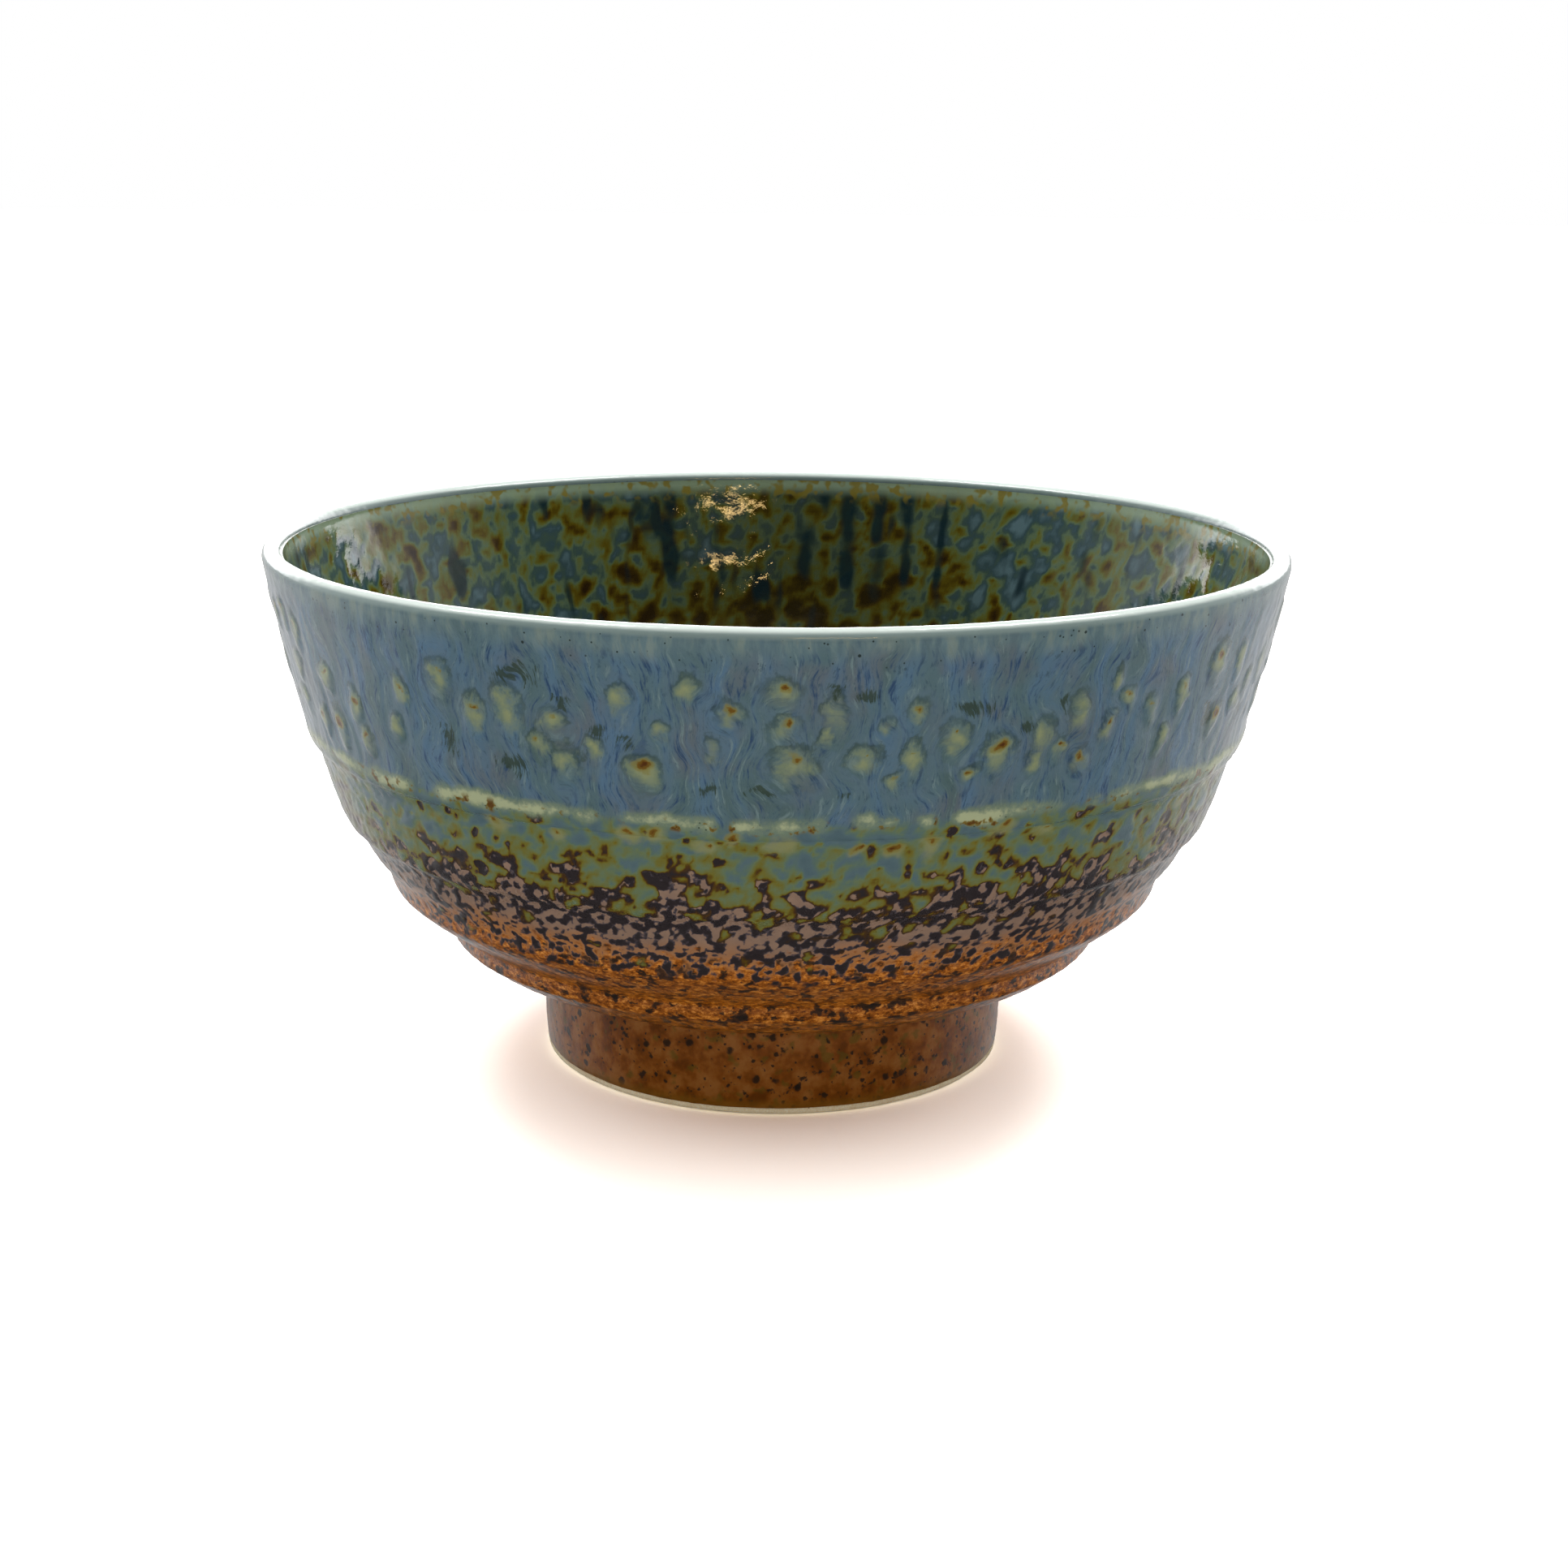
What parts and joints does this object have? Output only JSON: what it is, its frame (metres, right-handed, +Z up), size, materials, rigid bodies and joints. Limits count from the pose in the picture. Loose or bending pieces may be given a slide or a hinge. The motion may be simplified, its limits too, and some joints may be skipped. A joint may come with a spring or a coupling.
{
  "type": "matcha bowl",
  "caption": "Round footed tea bowl with turned rings outside, a rounded lip and layered glaze coats over clay, standing on a bare clay foot ring.",
  "frame": {"origin": "centre of the foot ring's standing edge, on the table", "axes": "+Z up along the axis that the bowl was turned on; the side that faces -Y is its front"},
  "size_m": [0.125, 0.125, 0.065],
  "materials": {
    "clay": "bare fired stoneware, matte and finely gritty",
    "blue_glaze": "glossy slate-blue glaze with runs, sage spots and ochre specks",
    "iron_glaze": "satin iron glaze, olive above, mottled mauve below it, amber at the bottom",
    "foot_glaze": "thin satin brown glaze with dark specks",
    "inside_glaze": "glossy dark teal glaze with ochre and olive mottling",
    "foot_well_glaze": "satin amber-brown glaze"
  },
  "bodies": {
    "root": {"clay_bowl": "clay", "foot_ring": "clay", "blue_glaze": "blue_glaze", "iron_glaze": "iron_glaze", "foot_glaze": "foot_glaze", "inside_glaze": "inside_glaze", "foot_well_glaze": "foot_well_glaze"}
  },
  "joints": []
}
